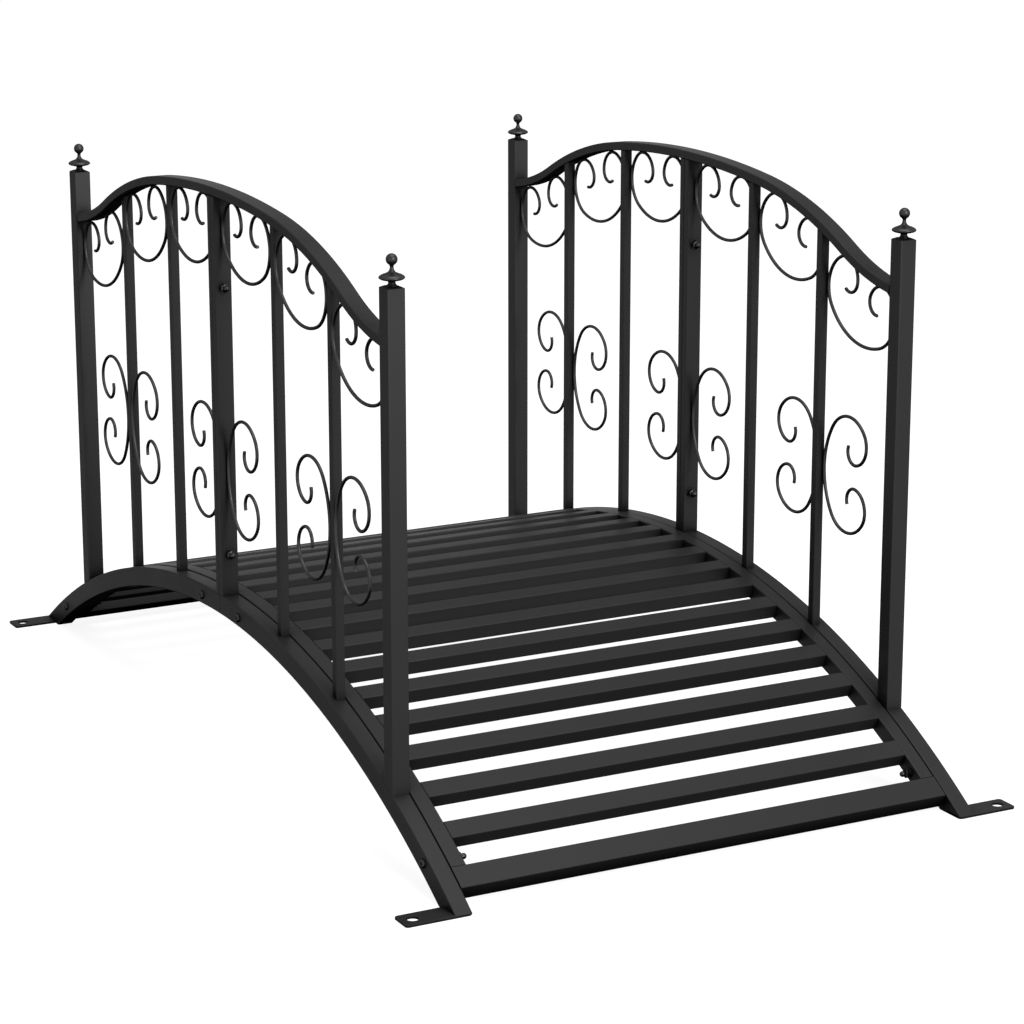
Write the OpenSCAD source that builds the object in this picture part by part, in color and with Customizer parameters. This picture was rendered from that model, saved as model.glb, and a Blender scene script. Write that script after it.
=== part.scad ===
// Arched garden bridge of square steel tube: a slatted deck between two
// side beams, each carrying a railing with scrolls and ball finials.
// X runs along the walk, Y across it, Z up. The origin is on the ground
// under the middle of the bridge. The near end is +X and the left is -Y.

/* [Overall] */
// Distance between the two ends of a side beam at the ground
bridge_len = 1228; // [1120:2:1340]
// Width over the two side beams
bridge_w = 648; // [560:2:760]
// Height of the side beams' crest above the foot plates
rise = 186; // [170:0.5:200]

/* [Side beams and feet] */
// Width of a side beam across the walk
beam_w = 20; // [18:1:24]
// Depth of a side beam
beam_h = 24; // [20:1:28]
// Thickness of a foot plate
plate_t = 3; // [2:0.5:5]
// Size of a foot plate along the walk
plate_len = 30; // [26:1:36]
// Reach of a foot plate beyond its side beam
plate_reach = 56; // [50:0.5:70]
// Distance a foot plate shows beyond the end of its side beam
plate_lip = 0.5; // [0:0.5:3]
// Radius of a foot plate's corners
plate_corner = 4; // [2:0.5:8]
// Diameter of the fixing hole in a foot plate
hole_d = 13; // [8:0.5:16]
// Distance from a side beam to the middle of the fixing hole
hole_reach = 41.5; // [30:0.5:46]

/* [Deck] */
// Width of a deck beam across the walk
deck_beam_w = 18; // [15:1:22]
// Depth of a deck beam
deck_beam_h = 20; // [16:1:24]
// Gap between a deck beam and the side beam it is bolted to
side_seam = 0.4; // [0.2:0.1:0.8]
// Height of the deck beams and slats above the side beams
deck_lift = 1.5; // [0:0.5:2.5]
// Width of a slat
slat_w = 24; // [16:0.5:26]
// Depth of a slat
slat_h = 17; // [12:0.5:19]
// Width of the slat that closes each end of the deck
end_slat_w = 28.5; // [22:0.5:32]
// Depth of the slat that closes each end of the deck
end_slat_h = 20; // [14:0.5:22]
// Number of slats in each half of the deck, without the end slat
half_slats = 10; // [8:1:11]
// Level distance from the end of a side beam to the middle of the end slat
end_slat_back = 38.7; // [34:0.1:60]

/* [Railings] */
// Size of an end post
post_size = 20.6; // [18:0.2:24]
// Height of the top of an end post, under its cap
post_top = 628; // [600:0.5:660]
// Height of an end post's sloped cap
cap_h = 2; // [1:0.5:4]
// Level distance from the end of a side beam to the end post's inner face
post_back = 167.2; // [160:0.2:175]
// Size of a baluster
baluster_size = 10.7; // [8:0.1:12]
// Distance from a side beam's outer face to the middle of a baluster
baluster_inset = 14.6; // [12:0.1:15]
// Width of a centre post along the walk
centre_post_w = 9.6; // [8:0.2:11]
// Gap between the two halves of a railing
half_seam = 0.4; // [0.2:0.1:0.8]
// Height of the top of the rail at the middle
rail_top = 670.6; // [650:0.1:690]
// Width of the top rail across the walk
rail_w = 20; // [19:0.5:24]
// Thickness of the top rail
rail_h = 10.6; // [9:0.2:13]
// Distance from a side beam's outer face to the middle of the top rail
rail_inset = 10.8; // [10:0.1:12]
// Radius of the rail's crest, on top
crest_r = 1440; // [1400:10:1540]
// Slope at which the crest turns into the shoulder
crest_slope = 6.6; // [6.2:0.1:7]
// Radius of the rail's shoulder, on top
shoulder_r = 560; // [540:1:590]
// Steepest slope of the rail, where the shoulder turns into the hollow
steep_slope = 26.5; // [25:0.5:27.5]
// Slope of the rail where it meets the end post
end_slope = 7.8; // [4:0.2:10]

/* [Scrolls] */
// Diameter of the scroll wire
wire_d = 4; // [3:0.5:5]
// Height of the middle of a side scroll
side_scroll_z = 338; // [320:0.5:350]
// Radius and half turn of a scroll's back
back_r = 91; // [85:1:97]
back_turn = 34.5; // [32:0.5:36]
// Radius and turn of the flank that follows the back
flank_r = 40; // [38:0.5:42]
flank_turn = 107; // [102:1:110]
// Radius and turn of the lobe that follows the flank
lobe_r = 24.6; // [22:0.2:26]
lobe_turn = 118.5; // [110:0.5:125]
// Radius and turn of the hook at the wire's end
hook_r = 14.7; // [13:0.1:16]
hook_turn = 122; // [105:1:135]

/* [Finials] */
// Diameter of the ball
ball_d = 12.4; // [10:0.2:14]
// Height of the middle of the ball above the cap
ball_z = 27; // [24:0.5:30]
// Diameter of the disc below the ball
disc_d = 27.6; // [24:0.2:30]
// Height of the middle of the disc above the cap
disc_z = 8.3; // [7:0.1:11]
// Thickness of the lens-shaped disc at its middle, and of its round rim
disc_t = 5; // [4:0.2:6]
rim_t = 1.4; // [1:0.1:1.8]
// Diameter of the finial's foot on the cap
foot_d = 12; // [10:0.5:14]
// Diameter of the neck that carries disc and ball
neck_d = 4.4; // [4:0.2:6]

/* [Hidden] */

// Clearance left for the weld where a piece follows a curved face
weld_gap = 0.15;
// Weld beads between two bends of a wire or of the rail: size against the
// wire's, and how far each bend stops short of the bead's middle
bead_ratio = 1.03;
bead_trim = 0.1;
// Length by which a cut runs past the piece it cuts
run_out = 1;
// Facets of the long shallow curves, of wire bends, of small round parts
// and of the wire's own section
arc_fn = 1440;
bend_fn = 72;
round_fn = 48;
wire_fn = 16;

steel = [0.2, 0.2, 0.21];
half_len = bridge_len / 2;
half_w = bridge_w / 2;
// Radius of the walking surface and the height of its centre
deck_r = (half_len * half_len + rise * rise) / (2 * rise);
deck_cz = plate_t + rise - deck_r;
deck_beam_y = half_w - beam_w - side_seam;
slat_len = 2 * (deck_beam_y - deck_beam_w);
end_slat_x = half_len - end_slat_back;
end_slat_turn = asin(end_slat_x / deck_r);
deck_top_r = deck_r + deck_lift;
slat_pitch = end_slat_x / (half_slats + 0.5);
// Angle at which a deck beam stops against the end slat
deck_beam_turn = end_slat_turn - atan(end_slat_w / 2 / deck_top_r);

// Half-railing positions along the walk, from the middle outwards
first_face = half_seam / 2 + centre_post_w;
rail_end_x = half_len - post_back;
bay_clear = (rail_end_x - first_face - 2 * baluster_size) / 3;
bay_pitch = bay_clear + baluster_size;
bay_mid = [for (i = [0 : 2]) first_face + bay_clear / 2 + i * bay_pitch];
baluster_x = [for (i = [1, 2]) first_face + i * bay_pitch - baluster_size / 2];
post_x = rail_end_x + post_size / 2;
post_y = half_w - post_size / 2;
baluster_y = half_w - baluster_inset;
rail_y = half_w - rail_inset;
plate_x = half_len + plate_lip - plate_len / 2;

// Rail curve: crest, shoulder and hollow, as arcs that meet without a kink
crest_x = crest_r * sin(crest_slope);
crest_cz = rail_top - crest_r;
shoulder_cx = crest_x - shoulder_r * sin(crest_slope);
shoulder_cz = crest_cz + (crest_r - shoulder_r) * cos(crest_slope);
steep_x = shoulder_cx + shoulder_r * sin(steep_slope);
hollow_r = (rail_end_x - steep_x) / (sin(steep_slope) - sin(end_slope));
hollow_cx = steep_x + hollow_r * sin(steep_slope);
hollow_cz = shoulder_cz + (shoulder_r + hollow_r) * cos(steep_slope);

// Height of a curve that runs this deep below the rail's top
function rail_z(x, depth) =
    x < (crest_r - depth) * sin(crest_slope)
        ? crest_cz + sqrt(pow(crest_r - depth, 2) - x * x)
    : x < shoulder_cx + (shoulder_r - depth) * sin(steep_slope)
        ? shoulder_cz + sqrt(pow(shoulder_r - depth, 2) - pow(x - shoulder_cx, 2))
    : hollow_cz - sqrt(pow(hollow_r + depth, 2) - pow(x - hollow_cx, 2));

// Middles of a scroll's flank and lobe, from the middle of its back
function bend_way(turn) = [-cos(turn), sin(turn)];
flank_c = [back_r, 0] + (back_r - flank_r) * bend_way(back_turn);
lobe_c = flank_c + (flank_r - lobe_r) * bend_way(back_turn + flank_turn);

// A top scroll fills its bay from side to side, and hangs from the rail by
// both lobes: its size, the middle of its lobes and its tilt follow
function top_size(tilt) =
    (bay_clear / 2 - weld_gap - wire_d / 2) / (flank_c[1] * cos(tilt) + flank_r);
function lobe_depth(tilt) = rail_h + weld_gap + wire_d / 2 + lobe_r * top_size(tilt);
function lobe_x(mid_x, tilt, way) =
    mid_x + top_size(tilt) * ((lobe_c[0] - flank_c[0]) * sin(tilt) + way * lobe_c[1] * cos(tilt));
function lobe_z(mid_x, tilt, way) = rail_z(lobe_x(mid_x, tilt, way), lobe_depth(tilt));
function next_tilt(mid_x, tilt) =
    asin((lobe_z(mid_x, tilt, -1) - lobe_z(mid_x, tilt, 1)) / (2 * lobe_c[1] * top_size(tilt)));
function seat_tilt(mid_x, tilt = 0, tries = 8) =
    tries == 0 ? tilt : seat_tilt(mid_x, next_tilt(mid_x, tilt), tries - 1);

// Places a piece modelled at the +X end of the +Y side
module place(side, end) {
    mirror([end < 0 ? 1 : 0, 0, 0]) mirror([0, side < 0 ? 1 : 0, 0]) children();
}

// Part of a tube bent round the deck's centre, from one angle to another
module deck_arc(top_r, turn_from, turn_to, y_from, width, depth) {
    translate([0, y_from + width, deck_cz]) rotate([90, 0, 0])
        rotate([0, 0, 90 - turn_to])
            rotate_extrude(angle = turn_to - turn_from, $fn = arc_fn)
                translate([top_r - depth, 0]) square([depth, width]);
}

module deck_beam(side) {
    color(steel) mirror([0, side < 0 ? 1 : 0, 0])
        deck_arc(deck_top_r, -deck_beam_turn, deck_beam_turn, deck_beam_y - deck_beam_w,
            deck_beam_w, deck_beam_h);
}

// One slat across the deck, its top touching the walking surface
module slat(turn, width, depth, len) {
    translate([0, 0, deck_cz]) rotate([0, turn, 0])
        translate([-width / 2, -len / 2, deck_top_r - depth]) cube([width, len, depth]);
}

module slats(end) {
    color(steel) mirror([end < 0 ? 1 : 0, 0, 0])
        for (i = [0 : half_slats - 1])
            slat(asin((i + 0.5) * slat_pitch / deck_r), slat_w, slat_h, slat_len);
}

module end_slat(end) {
    color(steel) mirror([end < 0 ? 1 : 0, 0, 0])
        slat(end_slat_turn, end_slat_w, end_slat_h, 2 * deck_beam_y);
}

// Half a side beam, cut off level at the ground and notched for its foot plate
module side_beam(side, end) {
    plate_back = plate_x - plate_len / 2;
    color(steel) place(side, end) difference() {
        intersection() {
            deck_arc(deck_r, 0, asin(half_len / deck_r), half_w - beam_w, beam_w, beam_h);
            translate([half_seam / 2, 0, 0]) cube([bridge_len, bridge_w, rise + plate_t]);
        }
        translate([plate_back, 0, -run_out]) cube([bridge_len, bridge_w, plate_t + run_out]);
    }
}

module foot_plate(side, end) {
    round_x = plate_len / 2 - plate_corner;
    inner_y = half_w - beam_w;
    outer_y = half_w + plate_reach;
    color(steel) place(side, end) translate([plate_x, 0, 0]) difference() {
        union() {
            translate([-plate_len / 2, inner_y + plate_corner, 0])
                cube([plate_len, outer_y - inner_y - 2 * plate_corner, plate_t]);
            translate([-round_x, inner_y, 0]) cube([2 * round_x, outer_y - inner_y, plate_t]);
            for (x = [-round_x, round_x], y = [inner_y + plate_corner, outer_y - plate_corner])
                translate([x, y, 0]) cylinder(r = plate_corner, h = plate_t, $fn = round_fn);
        }
        translate([0, half_w + hole_reach, -run_out])
            cylinder(d = hole_d, h = plate_t + 2 * run_out, $fn = round_fn);
    }
}

// An upright from the ground to some height, ready to be fitted
module upright(x, y, size_x, size_y, top) {
    translate([x - size_x / 2, y - size_y / 2, 0]) cube([size_x, size_y, top]);
}

// Fits uprights onto the top curve of a side beam
module above_beam() {
    difference() {
        children();
        translate([0, half_w + run_out, deck_cz]) rotate([90, 0, 0])
            cylinder(r = deck_r + weld_gap, h = post_size + 2 * beam_w, $fn = arc_fn);
    }
}

// Fits an upright under the rail, against its crest or its shoulder
module under_rail(x) {
    on_crest = x < crest_x;
    intersection() {
        children();
        translate([on_crest ? 0 : shoulder_cx, half_w + run_out, on_crest ? crest_cz : shoulder_cz])
            rotate([90, 0, 0])
                cylinder(r = (on_crest ? crest_r : shoulder_r) - rail_h - weld_gap,
                    h = post_size + 2 * beam_w, $fn = arc_fn);
    }
}

// Side view of a post's cap: full width below, as wide as the finial's foot on top
module cap_outline() {
    polygon([[-post_size / 2, 0], [post_size / 2, 0], [foot_d / 2, cap_h], [-foot_d / 2, cap_h]]);
}

module end_post(side, end) {
    color(steel) place(side, end) {
        above_beam() upright(post_x, post_y, post_size, post_size, post_top);
        translate([post_x, post_y, post_top]) intersection() {
            translate([0, post_size / 2, 0]) rotate([90, 0, 0]) linear_extrude(post_size) cap_outline();
            translate([-post_size / 2, 0, 0]) rotate([90, 0, 90]) linear_extrude(post_size) cap_outline();
        }
    }
}

// A hollow round edge between a disc and the neck, above or below
module neck_flare(r) {
    difference() {
        square([neck_d / 2 + r, r]);
        translate([neck_d / 2 + r, r]) circle(r = r);
    }
}

// Half outline of a finial: foot, lens-shaped disc with a round rim, neck and ball
module finial_outline() {
    foot_t = (foot_d - neck_d) / 8;
    rim_x = disc_d / 2 - rim_t / 2;
    lens_r = (rim_x * rim_x + disc_t * disc_t / 4) / disc_t;
    intersection() {
        union() {
            translate([0, ball_z]) circle(d = ball_d);
            square([neck_d / 2, ball_z]);
            square([foot_d / 2, foot_t]);
            translate([0, foot_t]) neck_flare((foot_d - neck_d) / 2);
            intersection() {
                translate([0, disc_z + disc_t / 2 - lens_r]) circle(r = lens_r);
                translate([0, disc_z - disc_t / 2 + lens_r]) circle(r = lens_r);
            }
            translate([rim_x, disc_z]) circle(d = rim_t);
            translate([0, disc_z + disc_t / 4]) neck_flare(disc_d / 4);
        }
        square([disc_d, 2 * ball_z]);
    }
}

module finial(side, end) {
    color(steel) place(side, end) translate([post_x, post_y, post_top + cap_h])
        rotate_extrude($fn = round_fn) finial_outline();
}

// One arc of the rail about its centre, between two slopes. It stops short
// of the beads at the ends named in beads: 0 is the first end, 1 the second.
module rail_arc(cx, cz, inner_r, turn_from, turn_to, beads) {
    trim = atan(bead_trim / inner_r);
    start = turn_from + trim * beads[0];
    stop = turn_to - trim * beads[1];
    translate([cx, cz]) rotate([0, 0, start])
        rotate_extrude(angle = stop - start, $fn = arc_fn)
            translate([inner_r, 0]) square([rail_h, rail_w]);
}

// Weld, dressed nearly flush, where the rail's curve changes at a slope
module rail_bead(cx, cz, r, slope) {
    translate([cx + r * sin(slope), cz + r * cos(slope), rail_w / 2]) rotate([0, 0, -slope])
        translate([0, -rail_h / 2]) cube([4 * bead_trim, rail_h + bead_trim, rail_w + bead_trim], center = true);
}

module top_rail(side, end) {
    color(steel) place(side, end) intersection() {
        translate([0, rail_y + rail_w / 2, 0]) rotate([90, 0, 0]) {
            rail_arc(0, crest_cz, crest_r - rail_h, 90 - crest_slope, 90, [1, 0]);
            rail_arc(shoulder_cx, shoulder_cz, shoulder_r - rail_h, 90 - steep_slope, 90 - crest_slope, [1, 1]);
            rail_arc(hollow_cx, hollow_cz, hollow_r, 270 - steep_slope, 270, [1, 0]);
            rail_bead(0, crest_cz, crest_r, crest_slope);
            rail_bead(shoulder_cx, shoulder_cz, shoulder_r, steep_slope);
        }
        translate([half_seam / 2, 0, 0]) cube([rail_end_x - half_seam / 2, bridge_w, 2 * rail_top]);
    }
}

module centre_post(side, end) {
    x = half_seam / 2 + centre_post_w / 2;
    color(steel) place(side, end) above_beam() under_rail(x)
        upright(x, post_y, centre_post_w, post_size, rail_top);
}

module balusters(side, end) {
    color(steel) place(side, end) above_beam() for (x = baluster_x) under_rail(x)
        upright(x, baluster_y, baluster_size, baluster_size, rail_top);
}

// Bends of a wire one after another, each [radius, turn], starting at the
// origin towards +Y and turning towards +X, with a weld bead before each
module wire_run(bends, i = 0) {
    if (i < len(bends)) {
        r = bends[i][0];
        turn = bends[i][1];
        trim = atan(bead_trim / r);
        stop = i == len(bends) - 1 ? turn : turn - trim;
        sphere(d = wire_d * bead_ratio, $fn = wire_fn * 1.5);
        translate([r, 0, 0]) rotate([0, 0, 180 - stop])
            rotate_extrude(angle = stop - trim, $fn = bend_fn)
                translate([r, 0]) circle(d = wire_d, $fn = wire_fn);
        translate([r * (1 - cos(turn)), r * sin(turn), 0]) rotate([0, 0, -turn])
            wire_run(bends, i + 1);
    }
}

// A scroll with its back along Z at the origin, opening towards +X
module scroll(size = 1) {
    r = back_r * size;
    reach = back_turn - atan(bead_trim / r);
    rotate([90, 0, 0]) {
        translate([r, 0, 0]) rotate([0, 0, 180 - reach])
            rotate_extrude(angle = 2 * reach, $fn = bend_fn)
                translate([r, 0]) circle(d = wire_d, $fn = wire_fn);
        for (way = [0, 1])
            mirror([0, way, 0])
                translate([r * (1 - cos(back_turn)), r * sin(back_turn), 0]) rotate([0, 0, -back_turn])
                    wire_run([[flank_r * size, flank_turn], [lobe_r * size, lobe_turn],
                        [hook_r * size, hook_turn]]);
    }
}

module top_scrolls(side, end) {
    color(steel) place(side, end)
        for (mid_x = bay_mid) {
            tilt = seat_tilt(mid_x);
            size = top_size(tilt);
            translate([(lobe_x(mid_x, tilt, -1) + lobe_x(mid_x, tilt, 1)) / 2, post_y,
                (lobe_z(mid_x, tilt, -1) + lobe_z(mid_x, tilt, 1)) / 2])
                rotate([0, tilt - 90, 0]) translate([-lobe_c[0] * size, 0, 0]) scroll(size);
        }
}

// One scroll stands against the centre post, two back to back at the outer baluster
module side_scrolls(side, end) {
    back = wire_d / 2 + weld_gap;
    color(steel) place(side, end) translate([0, post_y, side_scroll_z]) {
        translate([first_face + back, 0, 0]) scroll();
        translate([baluster_x[1] + baluster_size / 2 + back, 0, 0]) scroll();
        translate([baluster_x[1] - baluster_size / 2 - back, 0, 0]) mirror([1, 0, 0]) scroll();
    }
}

deck_beam(-1);  // left_deck_beam
deck_beam(1);  // right_deck_beam
slats(1);  // near_slats
slats(-1);  // far_slats
end_slat(1);  // near_end_slat
end_slat(-1);  // far_end_slat
side_beam(-1, 1);  // left_near_side_beam
side_beam(-1, -1);  // left_far_side_beam
side_beam(1, 1);  // right_near_side_beam
side_beam(1, -1);  // right_far_side_beam
foot_plate(-1, 1);  // left_near_foot_plate
foot_plate(-1, -1);  // left_far_foot_plate
foot_plate(1, 1);  // right_near_foot_plate
foot_plate(1, -1);  // right_far_foot_plate
end_post(-1, 1);  // left_near_end_post
end_post(-1, -1);  // left_far_end_post
end_post(1, 1);  // right_near_end_post
end_post(1, -1);  // right_far_end_post
finial(-1, 1);  // left_near_finial
finial(-1, -1);  // left_far_finial
finial(1, 1);  // right_near_finial
finial(1, -1);  // right_far_finial
centre_post(-1, 1);  // left_near_centre_post
centre_post(-1, -1);  // left_far_centre_post
centre_post(1, 1);  // right_near_centre_post
centre_post(1, -1);  // right_far_centre_post
balusters(-1, 1);  // left_near_balusters
balusters(-1, -1);  // left_far_balusters
balusters(1, 1);  // right_near_balusters
balusters(1, -1);  // right_far_balusters
top_rail(-1, 1);  // left_near_top_rail
top_rail(-1, -1);  // left_far_top_rail
top_rail(1, 1);  // right_near_top_rail
top_rail(1, -1);  // right_far_top_rail
top_scrolls(-1, 1);  // left_near_top_scrolls
top_scrolls(-1, -1);  // left_far_top_scrolls
top_scrolls(1, 1);  // right_near_top_scrolls
top_scrolls(1, -1);  // right_far_top_scrolls
side_scrolls(-1, 1);  // left_near_side_scrolls
side_scrolls(-1, -1);  // left_far_side_scrolls
side_scrolls(1, 1);  // right_near_side_scrolls
side_scrolls(1, -1);  // right_far_side_scrolls
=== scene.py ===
"""Looks of the arched garden bridge: every tube, wire and bolt with its rounded
edges, in a satin black powder coat, in a plain soft studio."""
import math

import bmesh
import bpy
from mathutils import Matrix, Vector
from mathutils.geometry import tessellate_polygon


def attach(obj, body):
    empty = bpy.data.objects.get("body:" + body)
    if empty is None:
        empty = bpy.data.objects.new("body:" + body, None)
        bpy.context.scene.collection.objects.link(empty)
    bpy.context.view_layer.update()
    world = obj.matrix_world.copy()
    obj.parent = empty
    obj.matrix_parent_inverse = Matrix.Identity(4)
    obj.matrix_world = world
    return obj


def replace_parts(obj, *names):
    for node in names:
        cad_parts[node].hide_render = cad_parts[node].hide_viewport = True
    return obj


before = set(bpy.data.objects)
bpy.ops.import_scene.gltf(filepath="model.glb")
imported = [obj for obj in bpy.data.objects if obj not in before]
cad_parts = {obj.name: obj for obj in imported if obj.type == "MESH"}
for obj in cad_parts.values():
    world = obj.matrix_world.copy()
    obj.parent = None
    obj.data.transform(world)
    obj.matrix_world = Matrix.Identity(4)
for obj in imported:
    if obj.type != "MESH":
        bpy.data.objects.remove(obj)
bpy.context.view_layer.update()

# Sizes in millimetres, as in the solids, but for DECK_LIFT, which is 0.7 less than there
BRIDGE_LEN, BRIDGE_W, RISE = 1228.0, 648.0, 186.0
BEAM_W, BEAM_H = 20.0, 24.0
PLATE_T, PLATE_LEN, PLATE_REACH, PLATE_LIP = 3.0, 30.0, 56.0, 0.5
PLATE_CORNER, HOLE_D, HOLE_REACH = 4.0, 13.0, 41.5
DECK_BEAM_W, DECK_BEAM_H, SIDE_SEAM, DECK_LIFT = 18.0, 20.0, 0.4, 0.8
SLAT_W, SLAT_H, HALF_SLATS = 24.0, 17.0, 10
END_SLAT_W, END_SLAT_H, END_SLAT_BACK = 28.5, 20.0, 38.7
POST, POST_TOP, CAP_H, POST_BACK = 20.6, 628.0, 2.0, 167.2
BALUSTER, BALUSTER_INSET = 10.7, 14.6
CENTRE_POST_W, HALF_SEAM = 9.6, 0.4
RAIL_TOP, RAIL_W, RAIL_H, RAIL_INSET = 670.6, 20.0, 10.6, 10.8
CREST_R, CREST_SLOPE = 1440.0, math.radians(6.6)
SHOULDER_R, STEEP_SLOPE, END_SLOPE = 560.0, math.radians(26.5), math.radians(7.8)
WIRE_D, SIDE_SCROLL_Z, WELD_GAP = 4.0, 338.0, 0.15
# Bends of half a scroll's wire, from the middle of its back: radius and turn
BACK_R, BACK_TURN = 91.0, math.radians(34.5)
FLANK_R, FLANK_TURN = 40.0, math.radians(107.0)
LOBE_R, LOBE_TURN = 24.6, math.radians(118.5)
HOOK_R, HOOK_TURN = 14.7, math.radians(122.0)
BALL_D, BALL_Z, DISC_D, DISC_Z, FOOT_D = 12.4, 27.0, 27.6, 8.3, 12.0

# What only the looks need: edge roundings of the tubes, and how much wider than
# its clearance the bolted seam beside each side beam shows
BEAM_ROUND, SLAT_ROUND, POST_ROUND, CENTRE_ROUND, BALUSTER_ROUND, RAIL_ROUND = 1.3, 1.0, 1.2, 1.0, 0.8, 1.2
BEAM_CHAMFER, RAIL_CHAMFER, WIRE_CHAMFER, PLATE_EDGE, CAP_EDGE = 0.5, 0.4, 0.4, 0.4, 0.4
SEAM_SHOWN = {"left": 0.1, "right": 1.2}
# Bolts through side beam and deck beam: place along the walk, depth below the beam's top
BOLTS = ((55.7, 13.3), (545.5, 11.8))
CENTRE_BOLT_Z = (555.0, 239.0)

# Facets of the long curves, of holes, wires and turned pieces
DECK_STEPS, BEAM_STEPS = 120, 70
CREST_STEPS, SHOULDER_STEPS, HOLLOW_STEPS = 22, 34, 26
HOLE_FACETS, WIRE_FACETS, BOLT_FACETS, FINIAL_FACETS = 48, 16, 24, 48

MM = 0.001
HALF_LEN, HALF_W = BRIDGE_LEN / 2, BRIDGE_W / 2
DECK_R = (HALF_LEN ** 2 + RISE ** 2) / (2 * RISE)
DECK_CZ = PLATE_T + RISE - DECK_R
DECK_TOP_R = DECK_R + DECK_LIFT
DECK_BEAM_Y = HALF_W - BEAM_W - SIDE_SEAM
END_SLAT_X = HALF_LEN - END_SLAT_BACK
END_SLAT_TURN = math.asin(END_SLAT_X / DECK_R)
SLAT_PITCH = END_SLAT_X / (HALF_SLATS + 0.5)
DECK_BEAM_TURN = END_SLAT_TURN - math.atan(END_SLAT_W / 2 / DECK_TOP_R)
FIRST_FACE = HALF_SEAM / 2 + CENTRE_POST_W
RAIL_END_X = HALF_LEN - POST_BACK
BAY = (RAIL_END_X - FIRST_FACE - 2 * BALUSTER) / 3
BAY_PITCH = BAY + BALUSTER
BAY_MID = [FIRST_FACE + BAY / 2 + i * BAY_PITCH for i in range(3)]
BALUSTER_X = [FIRST_FACE + i * BAY_PITCH - BALUSTER / 2 for i in (1, 2)]
POST_X, POST_Y = RAIL_END_X + POST / 2, HALF_W - POST / 2
BALUSTER_Y = HALF_W - BALUSTER_INSET
RAIL_Y = HALF_W - RAIL_INSET
PLATE_X = HALF_LEN + PLATE_LIP - PLATE_LEN / 2

CREST_CZ = RAIL_TOP - CREST_R
SHOULDER_CX = (CREST_R - SHOULDER_R) * math.sin(CREST_SLOPE)
SHOULDER_CZ = CREST_CZ + (CREST_R - SHOULDER_R) * math.cos(CREST_SLOPE)
STEEP_X = SHOULDER_CX + SHOULDER_R * math.sin(STEEP_SLOPE)
HOLLOW_R = (RAIL_END_X - STEEP_X) / (math.sin(STEEP_SLOPE) - math.sin(END_SLOPE))
HOLLOW_CX = STEEP_X + HOLLOW_R * math.sin(STEEP_SLOPE)
HOLLOW_CZ = SHOULDER_CZ + (SHOULDER_R + HOLLOW_R) * math.cos(STEEP_SLOPE)

SIDES = {"left": -1, "right": 1}
ENDS = {"near": 1, "far": -1}


def deck_z(x):
    """Height of the side beams' top, which the deck follows."""
    return DECK_CZ + math.sqrt(DECK_R ** 2 - x * x)


def rail_z(x, depth):
    """Height of the curve that runs this deep below the rail's top."""
    if x < (CREST_R - depth) * math.sin(CREST_SLOPE):
        return CREST_CZ + math.sqrt((CREST_R - depth) ** 2 - x * x)
    if x < SHOULDER_CX + (SHOULDER_R - depth) * math.sin(STEEP_SLOPE):
        return SHOULDER_CZ + math.sqrt((SHOULDER_R - depth) ** 2 - (x - SHOULDER_CX) ** 2)
    return HOLLOW_CZ - math.sqrt((HOLLOW_R + depth) ** 2 - (x - HOLLOW_CX) ** 2)


# Shader nodes ------------------------------------------------------------


def feed(nt, value, socket):
    """Links an output to a socket, or sets the socket to a plain value."""
    if isinstance(value, bpy.types.NodeSocket):
        nt.links.new(value, socket)
    else:
        socket.default_value = value


def add_node(nt, kind, **inputs):
    """New shader node with its named inputs fed; _ stands for a space in a name."""
    node = nt.nodes.new("ShaderNode" + kind)
    for name, value in inputs.items():
        feed(nt, value, node.inputs[name.replace("_", " ")])
    return node


def map_range(nt, value, low, high, to_low=0.0, to_high=1.0):
    """Maps low..high onto to_low..to_high."""
    return add_node(nt, "MapRange", Value=value, From_Min=low, From_Max=high,
                    To_Min=to_low, To_Max=to_high).outputs["Result"]


def add_math(nt, operation, a, b):
    node = add_node(nt, "Math")
    node.operation = operation
    feed(nt, a, node.inputs[0])
    feed(nt, b, node.inputs[1])
    return node.outputs[0]


def mix_colour(nt, blend, fac, a, b):
    node = add_node(nt, "Mix")
    node.data_type = "RGBA"
    node.blend_type = blend
    for name, value in (("Factor", fac), ("A", a), ("B", b)):
        feed(nt, value, node.inputs[name])
    return node.outputs["Result"]


def mix_shader(nt, fac, a, b):
    node = add_node(nt, "MixShader")
    for i, value in enumerate((fac, a, b)):
        nt.links.new(value, node.inputs[i])
    return node.outputs[0]


# Materials ---------------------------------------------------------------

GRAIN_SCALE, CLOUD_SCALE = 900.0, 9.0
COLOUR_SPREAD, ROUGH_SPREAD = 0.07, 0.03
# Painted contact shade: share of open sky from which it starts and at which it ends, and how dark it gets
SHADE_FULL, SHADE_NONE, SHADE_DARKEST, SHADE_SAMPLES = 0.25, 0.95, 0.08, 6
# Gloss falls off from a face seen straight on to one seen at a grazing angle
FACING_FROM, FACING_TO, GRAZING_GLOSS = 0.05, 0.6, 0.018
# No gloss on faces that look down, a painted shade that keeps the undersides dark: their normal's height from
# none to full gloss
DOWN_NONE, DOWN_FULL = -0.3, -0.05


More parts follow.
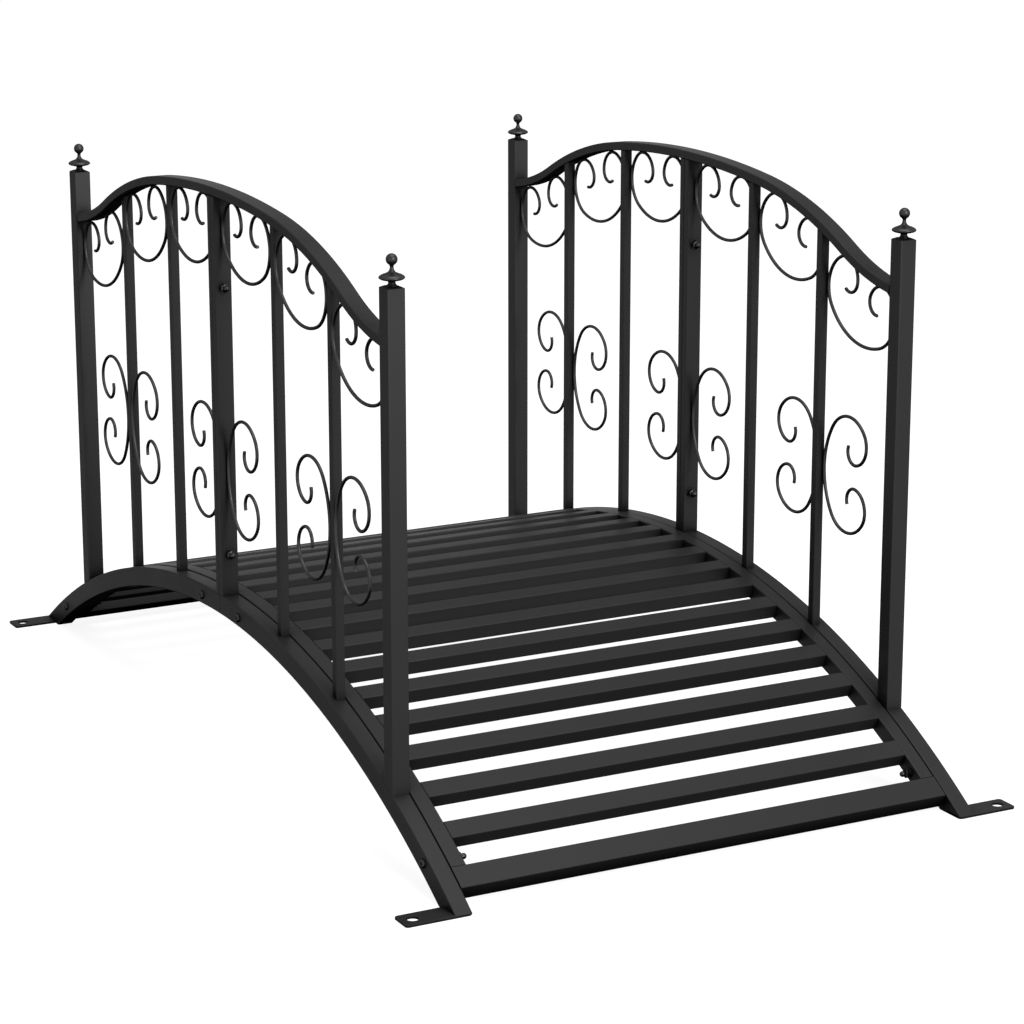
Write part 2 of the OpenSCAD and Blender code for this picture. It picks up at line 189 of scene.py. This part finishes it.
def powder(name, colour, rough, gloss=0.2, reach=0.017):
    """Satin black powder coat: fine orange peel, faint cloudy changes of gloss, and
    a painted contact shade, darkening colour and gloss, that reaches this many metres from where pieces meet."""
    mat = bpy.data.materials.new(name)
    mat.use_nodes = True
    nt = mat.node_tree
    bsdf = nt.nodes["Principled BSDF"]
    bsdf.inputs["Metallic"].default_value = 0.0
    bsdf.inputs["IOR"].default_value = 1.45

    where = add_node(nt, "TexCoord").outputs["Object"]
    cloud = add_node(nt, "TexNoise", Vector=where, Scale=CLOUD_SCALE, Detail=3.0).outputs["Fac"]
    fine = add_node(nt, "TexNoise", Vector=where, Scale=GRAIN_SCALE, Detail=2.0).outputs["Fac"]
    feed(nt, map_range(nt, cloud, 0.3, 0.7, rough - ROUGH_SPREAD, rough + ROUGH_SPREAD), bsdf.inputs["Roughness"])

    near = add_node(nt, "AmbientOcclusion", Distance=reach)
    near.samples = SHADE_SAMPLES
    shade = map_range(nt, near.outputs["AO"], SHADE_FULL, SHADE_NONE, SHADE_DARKEST)
    dark, light = ((*[c * (1 + way * COLOUR_SPREAD) for c in colour], 1) for way in (-1, 1))
    coat = mix_colour(nt, "MIX", fine, dark, light)
    feed(nt, mix_colour(nt, "MULTIPLY", 1.0, coat, shade), bsdf.inputs["Base Color"])

    facing = add_node(nt, "LayerWeight", Blend=0.5).outputs["Facing"]
    sheen = map_range(nt, facing, FACING_FROM, FACING_TO, gloss, GRAZING_GLOSS)
    normal = add_node(nt, "NewGeometry").outputs["Normal"]
    height = add_node(nt, "SeparateXYZ", Vector=normal).outputs["Z"]
    upward = map_range(nt, height, DOWN_NONE, DOWN_FULL)
    feed(nt, add_math(nt, "MULTIPLY", add_math(nt, "MULTIPLY", shade, sheen), upward),
         bsdf.inputs["Specular IOR Level"])

    bump = add_node(nt, "Bump", Strength=0.05, Distance=0.0002, Height=fine)
    feed(nt, bump.outputs["Normal"], bsdf.inputs["Normal"])
    return mat


BLACK = (0.0235, 0.0235, 0.0238)
MATERIALS = {
    "beam_steel": powder("beam_powder_coat", BLACK, 0.42, reach=0.045),
    "slat_steel": powder("slat_powder_coat", BLACK, 0.42, reach=0.028),
    "plate_steel": powder("plate_powder_coat", BLACK, 0.45),
    "rail_steel": powder("rail_powder_coat", BLACK, 0.42),
    "finial_steel": powder("finial_powder_coat", (0.019, 0.019, 0.0193), 0.30, 0.5),
    "scroll_steel": powder("scroll_powder_coat", (0.016, 0.016, 0.0163), 0.30, 0.6),
    "bolt": powder("bolt_black_finish", (0.007, 0.007, 0.0072), 0.26, 0.6),
}


# Mesh building -----------------------------------------------------------

SHARP_DEG, TURNED_SHARP_DEG = 34.0, 70.0


class Shape:
    """Vertices in millimetres, and faces, of one piece at the near right quarter."""

    def __init__(self):
        self.verts, self.faces = [], []

    def loft(self, rings, capped=True):
        """Skin over closed rings with the same number of points each."""
        base, n = len(self.verts), len(rings[0])
        for ring in rings:
            self.verts.extend(ring)
        for i in range(len(rings) - 1):
            a, b = base + i * n, base + (i + 1) * n
            for j in range(n):
                k = (j + 1) % n
                self.faces.append((a + j, a + k, b + k, b + j))
        if capped:
            last = base + (len(rings) - 1) * n
            self.faces.append(tuple(range(base + n - 1, base - 1, -1)))
            self.faces.append(tuple(range(last, last + n)))

    def to_object(self, name, slot, flip=(1, 1), at_ground=False, material=None, sharp=SHARP_DEG):
        """Mesh object of the piece, mirrored to its quarter of the bridge, cut level
        at the ground where asked, with edges sharper than this many degrees kept hard."""
        bm = bmesh.new()
        verts = [bm.verts.new((x * flip[0] * MM, y * flip[1] * MM, z * MM)) for x, y, z in self.verts]
        for face in self.faces:
            bm.faces.new([verts[i] for i in face])
        if at_ground:
            cut = bmesh.ops.bisect_plane(bm, geom=bm.verts[:] + bm.edges[:] + bm.faces[:], dist=1e-7,
                                         plane_co=(0, 0, 0), plane_no=(0, 0, -1), clear_outer=True)
            rim = [e for e in cut["geom_cut"] if isinstance(e, bmesh.types.BMEdge)]
            bmesh.ops.contextual_create(bm, geom=rim)
        bmesh.ops.recalc_face_normals(bm, faces=bm.faces[:])
        for face in bm.faces:
            face.smooth = True
        for edge in bm.edges:
            if len(edge.link_faces) == 2 and edge.calc_face_angle(0) > math.radians(sharp):
                edge.smooth = False
        mesh = bpy.data.meshes.new(name)
        bm.to_mesh(mesh)
        bm.free()
        obj = bpy.data.objects.new(name, mesh)
        bpy.context.scene.collection.objects.link(obj)
        mesh.materials.append(MATERIALS[material or slot])
        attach(obj, "root")
        return obj


def round_rect(w, h, r, steps=4, keep=0.5):
    """Points of a rectangle with rounded corners, with a point on each flat this
    far from the rounding, which keeps the flat's shading flat."""
    pts = []
    for k, (sx, sy) in enumerate(((1, 1), (-1, 1), (-1, -1), (1, -1))):
        cx, cy = sx * (w / 2 - r), sy * (h / 2 - r)
        turns = [math.radians(90 * k + 90 * i / steps) for i in range(steps + 1)]
        arc = [(cx + r * math.cos(t), cy + r * math.sin(t)) for t in turns]
        flat_in, flat_out = math.radians(90 * k + 90), math.radians(90 * k + 180)
        before = (arc[0][0] - keep * math.cos(flat_in), arc[0][1] - keep * math.sin(flat_in))
        after = (arc[-1][0] + keep * math.cos(flat_out), arc[-1][1] + keep * math.sin(flat_out))
        pts += [before, *arc, after]
    return pts


def circle(r, n):
    return [(r * math.cos(2 * math.pi * i / n), r * math.sin(2 * math.pi * i / n)) for i in range(n)]


def arc_path(cx, cz, r, turn_from, turn_to, steps, up=1):
    """Points (x, z) and upward normals of an arc about a centre below (up=1) or above (up=-1) it."""
    out = []
    for i in range(steps + 1):
        t = turn_from + (turn_to - turn_from) * i / steps
        out.append((cx + up * r * math.sin(t), cz + up * r * math.cos(t), math.sin(t), math.cos(t)))
    return out


def sweep(shape, path, section, y, drop=0.0, start=0.0, end=0.0, slim=None):
    """Sweeps a section, (across, up), along a path; drop lowers its middle below the path.
    start and end are chamfers there, made with the slimmer section slim."""
    def ring(p, sec, shift):
        x, z, nx, nz = p
        return [(x + nx * (b - drop) + nz * shift, y + a, z + nz * (b - drop) - nx * shift) for a, b in sec]

    rings = [ring(p, section, 0) for p in path]
    if start:
        rings[0] = ring(path[0], section, start)
        rings.insert(0, ring(path[0], slim, 0))
    if end:
        rings[-1] = ring(path[-1], section, -end)
        rings.append(ring(path[-1], slim, 0))
    shape.loft(rings)


def upright(shape, x, y, w, d, r, head, cap=()):
    """A square tube from the side beam up to the height head(x), with an optional cap
    of (height, share of the width) steps."""
    sec = round_rect(w, d, r)
    rings = [[(x + a, y + b, rise(x + a)) for a, b in sec] for rise in (from_beam, head)]
    for top, size in cap:
        rings.append([(x + a * size, y + b * size, top) for a, b in sec])
    shape.loft(rings)


def lathe(shape, profile, at, axis, n, hexed=()):
    """Turns a profile of (radius, height) about an axis through a point.
    Rings named in hexed have a hexagon's outline, with the radius across its flats."""
    rings = []
    for i, (r, h) in enumerate(profile):
        ring = []
        for j in range(n):
            t = 2 * math.pi * j / n
            reach = r / math.cos((t + math.pi / 6) % (math.pi / 3) - math.pi / 6) if i in hexed else r
            a, b = reach * math.cos(t), reach * math.sin(t)
            p = {"z": (a, b, h), "x": (h, a, b), "y": (a, h, b)}[axis]
            ring.append(tuple(p[k] + at[k] for k in range(3)))
        rings.append(ring)
    shape.loft(rings)


# Deck --------------------------------------------------------------------


def beam_sweep(shape, top_r, turn_from, turn_to, y_mid, w, h, steps, start=0.0):
    """A tube bent round the deck's centre."""
    slim = round_rect(w - 2 * BEAM_CHAMFER, h - 2 * BEAM_CHAMFER, BEAM_ROUND - BEAM_CHAMFER)
    sweep(shape, arc_path(0, DECK_CZ, top_r, turn_from, turn_to, steps), round_rect(w, h, BEAM_ROUND), y_mid,
          drop=h / 2, start=start, slim=slim)


def slat(shape, turn, w, h, y_from, y_to):
    """One slat across the deck, square to the walking surface."""
    s, c = math.sin(turn), math.cos(turn)
    rings = []
    for y in (y_from, y_to):
        ring = []
        for a, b in round_rect(w, h, SLAT_ROUND):
            r = DECK_TOP_R - h / 2 + b
            ring.append((r * s + a * c, y, DECK_CZ + r * c - a * s))
        rings.append(ring)
    shape.loft(rings)


def deck_tube_shape(seam):
    s = Shape()
    beam_sweep(s, DECK_TOP_R, -DECK_BEAM_TURN, DECK_BEAM_TURN, DECK_BEAM_Y - DECK_BEAM_W / 2 - seam / 2,
               DECK_BEAM_W - seam, DECK_BEAM_H, DECK_STEPS)
    return s


def slats_shape():
    s = Shape()
    reach = DECK_BEAM_Y - DECK_BEAM_W
    for i in range(HALF_SLATS):
        slat(s, math.asin((i + 0.5) * SLAT_PITCH / DECK_R), SLAT_W, SLAT_H, -reach, reach)
    return s


def end_slat_shape():
    s = Shape()
    slat(s, END_SLAT_TURN, END_SLAT_W, END_SLAT_H,
         SEAM_SHOWN["left"] - DECK_BEAM_Y, DECK_BEAM_Y - SEAM_SHOWN["right"])
    return s


# One quarter of the bridge: half a side beam, its foot and half a railing --


def side_beam_shape():
    s = Shape()
    beam_sweep(s, DECK_R, math.asin(HALF_SEAM / 2 / DECK_R), math.asin(HALF_LEN / DECK_R),
               HALF_W - BEAM_W / 2, BEAM_W, BEAM_H, BEAM_STEPS, start=BEAM_CHAMFER)
    return s


def foot_plate_shape():
    """Flat plate with rounded corners and a hole, its edges lightly broken."""
    s = Shape()
    y0, y1 = HALF_W - BEAM_W, HALF_W + PLATE_REACH
    levels = ((PLATE_EDGE, 0), (0, PLATE_EDGE), (0, PLATE_T - PLATE_EDGE), (PLATE_EDGE, PLATE_T))

    def outline(inset, z):
        sec = round_rect(PLATE_LEN - 2 * inset, y1 - y0 - 2 * inset, PLATE_CORNER - inset, steps=8)
        return [(PLATE_X + a, (y0 + y1) / 2 + b, z) for a, b in sec]

    def hole(grow, z):
        return [(PLATE_X + a, HALF_W + HOLE_REACH + b, z) for a, b in circle(HOLE_D / 2 + grow, HOLE_FACETS)]

    s.loft([outline(*level) for level in levels], capped=False)
    first_hole = len(s.verts)
    s.loft([hole(*level) for level in levels], capped=False)
    n_out = first_hole // len(levels)
    for level in (0, len(levels) - 1):
        index = [range(level * n_out, (level + 1) * n_out),
                 range(first_hole + level * HOLE_FACETS, first_hole + (level + 1) * HOLE_FACETS)]
        corners = [i for loop in index for i in loop]
        for tri in tessellate_polygon([[Vector(s.verts[i]) for i in loop] for loop in index]):
            s.faces.append(tuple(corners[i] for i in tri))
    return s


def from_beam(x):
    """Where a post or baluster starts, on the side beam."""
    return deck_z(x) + WELD_GAP


def to_rail(x):
    """Where a post or baluster ends, under the rail."""
    return rail_z(x, RAIL_H + WELD_GAP)


def end_post_shape():
    """Post with a low sloped cap that ends at the finial's foot."""
    s = Shape()
    upright(s, POST_X, POST_Y, POST, POST, POST_ROUND, lambda x: POST_TOP - CAP_EDGE,
            cap=((POST_TOP, 0.985), (POST_TOP + CAP_H, FOOT_D / POST)))
    return s


def centre_post_shape():
    s = Shape()
    upright(s, HALF_SEAM / 2 + CENTRE_POST_W / 2, POST_Y, CENTRE_POST_W, POST, CENTRE_ROUND, to_rail)
    return s


def balusters_shape():
    s = Shape()
    for x in BALUSTER_X:
        upright(s, x, BALUSTER_Y, BALUSTER, BALUSTER, BALUSTER_ROUND, to_rail)
    return s


def top_rail_shape():
    """Flat bar bent through crest, shoulder and hollow."""
    s = Shape()
    crest = arc_path(0, CREST_CZ, CREST_R, math.asin(HALF_SEAM / 2 / CREST_R), CREST_SLOPE, CREST_STEPS)
    shoulder = arc_path(SHOULDER_CX, SHOULDER_CZ, SHOULDER_R, CREST_SLOPE, STEEP_SLOPE, SHOULDER_STEPS)
    hollow = arc_path(HOLLOW_CX, HOLLOW_CZ, HOLLOW_R, STEEP_SLOPE, END_SLOPE, HOLLOW_STEPS, up=-1)
    slim = round_rect(RAIL_W - 2 * RAIL_CHAMFER, RAIL_H - 2 * RAIL_CHAMFER, RAIL_ROUND - RAIL_CHAMFER)
    sweep(s, crest + shoulder[1:] + hollow[1:], round_rect(RAIL_W, RAIL_H, RAIL_ROUND), RAIL_Y,
          drop=RAIL_H / 2, start=RAIL_CHAMFER, slim=slim)
    return s


def scroll_path(size):
    """Middle line of a whole scroll in its own plane: (out, along) and the normal, back at the origin."""
    half = []
    x = y = turned = 0.0
    for r, turn in ((BACK_R, BACK_TURN), (FLANK_R, FLANK_TURN), (LOBE_R, LOBE_TURN), (HOOK_R, HOOK_TURN)):
        r *= size
        cx, cy = x + r * math.cos(turned), y - r * math.sin(turned)
        # Wide bends get shorter steps, about one for every 3 degrees at a radius of 40
        steps = max(6, int(math.degrees(turn) * (r / 40) ** 0.35 / 3.2))
        for i in range(1, steps + 1):
            h = turned + turn * i / steps
            half.append((cx - r * math.cos(h), cy + r * math.sin(h), math.cos(h), -math.sin(h)))
        x, y = half[-1][:2]
        turned += turn
    other = [(a, -b, na, -nb) for a, b, na, nb in reversed(half)]
    return other + [(0.0, 0.0, 1.0, 0.0)] + half


def scroll(shape, size, back, out, along):
    """One scroll in the railing's plane: its back's place, and the directions (x, z)
    in which it opens and along which its back lies."""
    path = [(back[0] + a * out[0] + b * along[0], back[1] + a * out[1] + b * along[1],
             na * out[0] + nb * along[0], na * out[1] + nb * along[1]) for a, b, na, nb in scroll_path(size)]
    sweep(shape, path, circle(WIRE_D / 2, WIRE_FACETS), POST_Y, start=WIRE_CHAMFER, end=WIRE_CHAMFER,
          slim=circle(WIRE_D / 2 - WIRE_CHAMFER, WIRE_FACETS))


# Middles of a scroll's flank and lobe, from the middle of its back: (out, along)
FLANK_C = (BACK_R - (BACK_R - FLANK_R) * math.cos(BACK_TURN), (BACK_R - FLANK_R) * math.sin(BACK_TURN))
LOBE_C = (FLANK_C[0] - (FLANK_R - LOBE_R) * math.cos(BACK_TURN + FLANK_TURN),
          FLANK_C[1] + (FLANK_R - LOBE_R) * math.sin(BACK_TURN + FLANK_TURN))
SEAT_TRIES = 8


def seat_top_scroll(mid_x):
    """Size, tilt and back of the scroll that fills a bay and hangs from the rail by both lobes."""
    tilt = 0.0
    for _ in range(SEAT_TRIES):
        size = (BAY / 2 - WELD_GAP - WIRE_D / 2) / (FLANK_C[1] * math.cos(tilt) + FLANK_R)
        depth = RAIL_H + WELD_GAP + WIRE_D / 2 + LOBE_R * size
        mid = mid_x + (LOBE_C[0] - FLANK_C[0]) * size * math.sin(tilt)
        half = LOBE_C[1] * size
        z = [rail_z(mid + way * half * math.cos(tilt), depth) for way in (-1, 1)]
        tilt = math.asin((z[0] - z[1]) / (2 * half))
    back = (mid - LOBE_C[0] * size * math.sin(tilt), sum(z) / 2 - LOBE_C[0] * size * math.cos(tilt))
    return size, tilt, back


def top_scrolls_shape():
    s = Shape()
    for mid_x in BAY_MID:
        size, tilt, back = seat_top_scroll(mid_x)
        scroll(s, size, back, (math.sin(tilt), math.cos(tilt)), (math.cos(tilt), -math.sin(tilt)))
    return s


def side_scrolls_shape():
    """One scroll stands against the centre post, two back to back at the outer baluster."""
    s = Shape()
    off = WIRE_D / 2 + WELD_GAP
    for x, way in ((FIRST_FACE + off, 1), (BALUSTER_X[1] + BALUSTER / 2 + off, 1),
                   (BALUSTER_X[1] - BALUSTER / 2 - off, -1)):
        scroll(s, 1.0, (x, SIDE_SCROLL_Z), (way, 0), (0, 1))
    return s


def finial_shape():
    """Turned finial: waisted foot, lens-shaped disc that runs up into a slim neck, and ball."""
    foot, rim, ball_r, ball_foot = FOOT_D / 2, DISC_D / 2, BALL_D / 2, 3.0
    waist = [(0.01, 0.0), (foot * 0.9, 0.0), (foot * 0.88, 0.5), (4.6, 1.2), (4.05, 2.1), (3.8, 3.1), (3.9, 3.9)]
    disc = [(4.5, 4.6), (6.2, 5.1), (9.0, 5.6), (11.4, 6.25), (12.9, 7.05), (rim - 0.15, 7.8),
            (rim, DISC_Z + 0.1), (rim - 0.25, 9.1), (12.8, 10.0), (11.4, 10.95), (9.3, 11.9), (6.9, 12.75)]
    neck = [(4.9, 13.6), (3.6, 14.6), (2.75, 15.9), (2.25, 17.3), (2.0, 18.8), (2.1, 20.1), (2.5, 21.0)]
    ball = []
    start, end = -math.acos(ball_foot / ball_r), math.pi / 2 - 0.02
    for i in range(15):
        t = start + (end - start) * i / 14
        ball.append((ball_r * math.cos(t), BALL_Z + ball_r * math.sin(t)))
    s = Shape()
    lathe(s, waist + disc + neck + ball, (POST_X, POST_Y, POST_TOP + CAP_H), "z", FINIAL_FACETS)
    return s


def button_head(shape, at, axis, way):
    """Low round head with a hexagon socket."""
    r, h, socket, edge = 5.2, 2.6, 2.0, 0.35
    dome_r = r - socket - 0.5
    prof = [(r * 0.98, 0.0), (r, edge)]
    for i in range(1, 8):
        t = math.radians(90 * i / 8)
        prof.append((socket + 0.5 + dome_r * math.cos(t), edge + (h - edge) * math.sin(t)))
    prof += [(socket + 0.25, h), (socket, h - 0.15), (socket, h - 1.5), (0.01, h - 1.7)]
    n = len(prof)
    lathe(shape, [(a, b * way) for a, b in prof], at, axis, BOLT_FACETS, hexed=(n - 3, n - 2))


def cap_nut(shape, at, axis, way):
    """Hexagon nut with a narrow dome, on a round washer."""
    flat, h, dome = 4.8, 12.0, 3.4
    washer = [(6.0, 0.0), (6.2, 0.25), (6.2, 0.9), (6.0, 1.15)]
    nut = [(flat * 0.92, 1.2), (flat, 1.7), (flat, 4.9), (flat * 0.9, 5.5)]
    prof = washer + nut + [(dome - 0.4, 5.9), (dome - 0.3, 6.6)]
    for i in range(9):
        t = math.radians(90 * i / 8 - 2)
        prof.append((dome * math.cos(t), h - dome + dome * math.sin(t)))
    lathe(shape, [(a, b * way) for a, b in prof], at, axis, BOLT_FACETS, hexed=(5, 6))


def bolts_shape(end):
    """Round heads outside the side beam, cap nuts inside the deck beam and on the centre post."""
    s = Shape()
    for x, depth in BOLTS:
        t = math.asin(x / DECK_R)
        r = DECK_R - depth
        at_x, at_z = r * math.sin(t), DECK_CZ + r * math.cos(t)
        button_head(s, (at_x, HALF_W, at_z), "y", 1)
        cap_nut(s, (at_x, DECK_BEAM_Y - DECK_BEAM_W, at_z), "y", -1)
    for z in CENTRE_BOLT_Z:
        at = (FIRST_FACE, POST_Y, z)
        (cap_nut if end > 0 else button_head)(s, at, "x", 1)
    return s


# The pieces, each in place of its solid ----------------------------------


def dress(shape, name, slot, flip, node, **how):
    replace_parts(shape.to_object(name, slot, flip, **how), node)


for side, sy in SIDES.items():
    dress(deck_tube_shape(SEAM_SHOWN[side]), f"{side}_deck_tube", "beam_steel", (1, sy), f"{side}_deck_beam")

for end, ex in ENDS.items():
    dress(slats_shape(), f"{end}_slat_tubes", "slat_steel", (ex, 1), f"{end}_slats")
    dress(end_slat_shape(), f"{end}_end_slat_tube", "slat_steel", (ex, 1), f"{end}_end_slat")

for side, sy in SIDES.items():
    for end, ex in ENDS.items():
        q, flip = f"{side}_{end}_", (ex, sy)
        dress(side_beam_shape(), q + "side_tube", "beam_steel", flip, q + "side_beam", at_ground=True)
        dress(foot_plate_shape(), q + "foot", "plate_steel", flip, q + "foot_plate")
        dress(end_post_shape(), q + "post_tube", "rail_steel", flip, q + "end_post")
        dress(finial_shape(), q + "turned_finial", "finial_steel", flip, q + "finial", sharp=TURNED_SHARP_DEG)
        dress(centre_post_shape(), q + "centre_tube", "rail_steel", flip, q + "centre_post")
        dress(balusters_shape(), q + "baluster_tubes", "rail_steel", flip, q + "balusters")
        dress(top_rail_shape(), q + "rail_tube", "rail_steel", flip, q + "top_rail")
        dress(top_scrolls_shape(), q + "top_wires", "scroll_steel", flip, q + "top_scrolls")
        dress(side_scrolls_shape(), q + "side_wires", "scroll_steel", flip, q + "side_scrolls")
        bolts_shape(ex).to_object(q + "bolts", "rail_steel", flip, material="bolt")


# Studio ------------------------------------------------------------------

WHITE = (1, 1, 1, 1)
# World and floor as they light the object, where no camera, gloss or glass sees them
SOFT_LIGHT, FLOOR_BOUNCE = 0.32, 0.12
# The floor as it is seen: a glow near white, and the grey that takes light and shadow
FLOOR_GLOW, FLOOR_CATCH, FLOOR_R = 0.9, 0.30, 14
TOP_BOX = {"where": (0.6, 0.3, 4.2), "size": 3.2, "power": 105}
FRONT_BOX = {"where": (8.5, 1.2, 3.6), "size": 4.0, "power": 480}
LIGHT_AIM = (0, 0, 0.3)


def seen_directly(nt):
    """1 for rays of the camera, of gloss and of glass, which see the white background."""
    path = add_node(nt, "LightPath")
    total = path.outputs["Is Camera Ray"]
    for name in ("Is Glossy Ray", "Is Transmission Ray"):
        total = add_math(nt, "MAXIMUM", total, path.outputs[name])
    return total


def white_world():
    world = bpy.data.worlds.new("studio")
    bpy.context.scene.world = world
    world.use_nodes = True
    nt = world.node_tree
    back = nt.nodes["Background"]
    back.inputs["Color"].default_value = WHITE
    soft = add_node(nt, "Background", Color=WHITE, Strength=SOFT_LIGHT)
    seen = mix_shader(nt, seen_directly(nt), soft.outputs[0], back.outputs[0])
    nt.links.new(seen, nt.nodes["World Output"].inputs["Surface"])


def floor():
    bpy.ops.mesh.primitive_circle_add(vertices=96, radius=FLOOR_R, fill_type="NGON", location=(0, 0, 0))
    obj = bpy.context.object
    obj.name = "studio_floor"
    mat = bpy.data.materials.new("floor_white")
    mat.use_nodes = True
    nt = mat.node_tree
    nt.nodes.clear()
    catch = add_node(nt, "BsdfDiffuse", Color=(FLOOR_CATCH, FLOOR_CATCH, FLOOR_CATCH, 1))
    glow = add_node(nt, "Emission", Strength=FLOOR_GLOW)
    plain = add_node(nt, "BsdfDiffuse", Color=(FLOOR_BOUNCE, FLOOR_BOUNCE, FLOOR_BOUNCE, 1))
    seen = add_node(nt, "AddShader")
    nt.links.new(catch.outputs[0], seen.inputs[0])
    nt.links.new(glow.outputs[0], seen.inputs[1])
    surface = mix_shader(nt, seen_directly(nt), plain.outputs[0], seen.outputs[0])
    nt.links.new(surface, add_node(nt, "OutputMaterial").inputs["Surface"])
    obj.data.materials.append(mat)


def softbox(name, where, size, power):
    light = bpy.data.lights.new(name, "AREA")
    light.shape = "DISK"
    light.size = size
    light.energy = power
    obj = bpy.data.objects.new(name, light)
    obj.location = where
    obj.rotation_euler = (Vector(LIGHT_AIM) - Vector(where)).to_track_quat("-Z", "Y").to_euler()
    bpy.context.scene.collection.objects.link(obj)
    obj.visible_camera = False


def camera():
    """Camera fitted to the photograph: place, direction and focal length."""
    cam = bpy.data.cameras.new("camera")
    cam.sensor_width = 36.0
    cam.lens = 110.277
    cam.clip_end = 60
    obj = bpy.data.objects.new("camera", cam)
    bpy.context.scene.collection.objects.link(obj)
    azimuth, down, roll = math.radians(62.282), math.radians(14.540), math.radians(-0.031)
    turn = Matrix.Rotation(azimuth, 4, "Z") @ Matrix.Rotation(math.pi / 2 - down, 4, "X") \
        @ Matrix.Rotation(roll, 4, "Z")
    obj.matrix_world = Matrix.Translation((3.29552, -1.66731, 1.20721)) @ turn
    bpy.context.scene.camera = obj


white_world()
floor()
softbox("top_softbox", **TOP_BOX)
softbox("front_softbox", **FRONT_BOX)
camera()
bpy.context.scene.view_settings.view_transform = "Standard"
